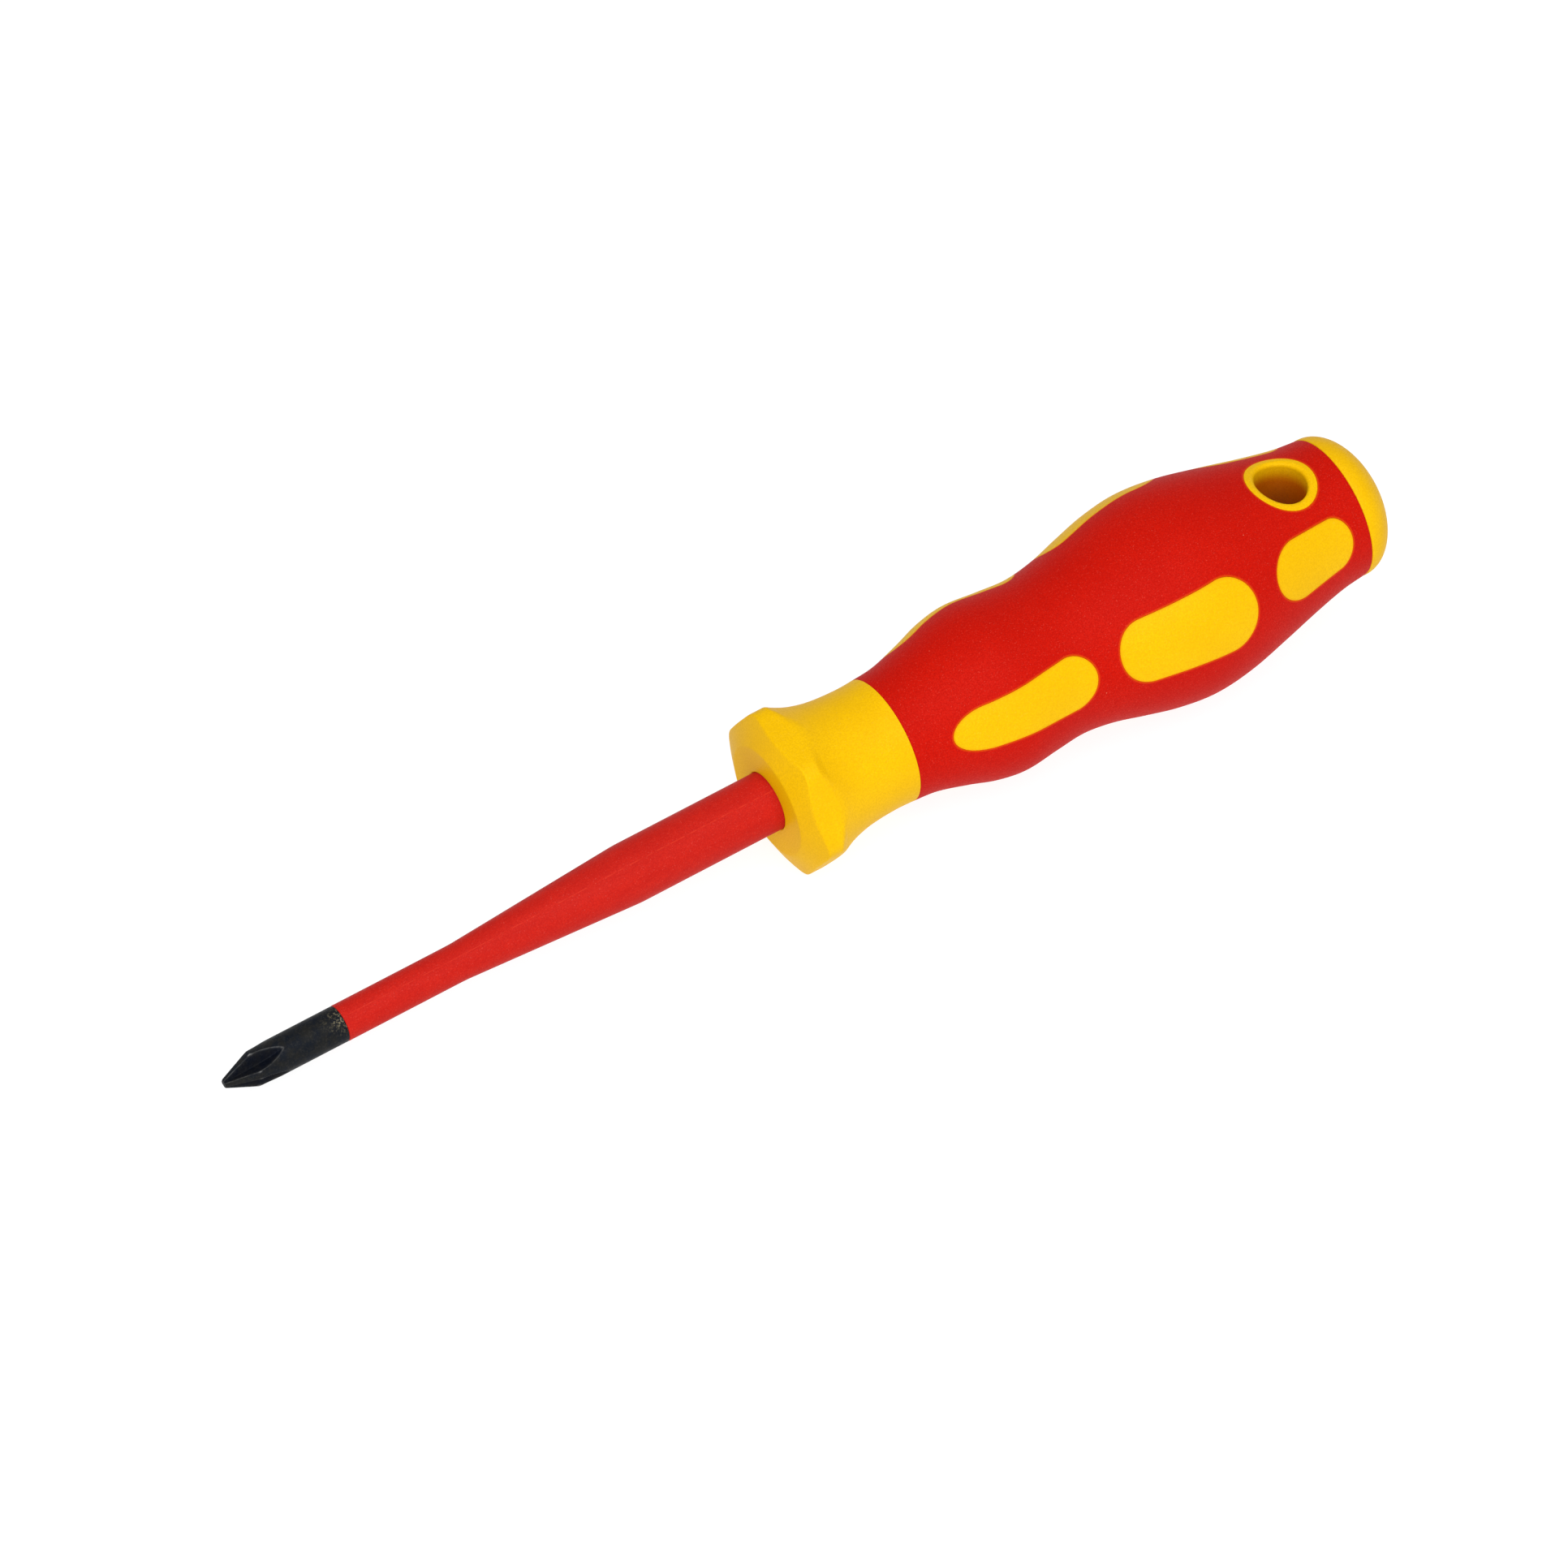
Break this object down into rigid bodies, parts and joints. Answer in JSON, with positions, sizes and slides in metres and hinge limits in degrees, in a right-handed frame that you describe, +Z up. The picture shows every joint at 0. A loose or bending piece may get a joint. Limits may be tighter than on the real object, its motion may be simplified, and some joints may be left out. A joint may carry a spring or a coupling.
{
  "type": "insulated screwdriver",
  "caption": "Insulated Phillips screwdriver with a slim sleeved blade, a hexagonal collar and a two-colour waisted grip with a hanging hole.",
  "frame": {"origin": "centre of the blunt end of the blade, on the tool's axis", "axes": "+X along the tool from the blade's tip to the end cap, +Z up through the hanging hole"},
  "size_m": [0.1719, 0.0284, 0.0284],
  "materials": {
    "blade_steel": "black oxide, worn at the edges",
    "sleeve_insulation": "satin",
    "grip_rubber": "fine matte texture",
    "yellow_plastic": "fine satin texture"
  },
  "bodies": {
    "root": {"blade": "blade_steel", "blade_sleeve": "sleeve_insulation", "handle_core": "yellow_plastic", "grip_shell": "grip_rubber", "hang_hole_bush": "yellow_plastic", "end_cap": "yellow_plastic", "front_inlay_left": "yellow_plastic", "front_inlay_right": "yellow_plastic", "front_inlay_bottom": "yellow_plastic", "middle_inlay_left": "yellow_plastic", "middle_inlay_right": "yellow_plastic", "middle_inlay_bottom": "yellow_plastic", "rear_inlay_left": "yellow_plastic", "rear_inlay_right": "yellow_plastic"}
  },
  "joints": []
}
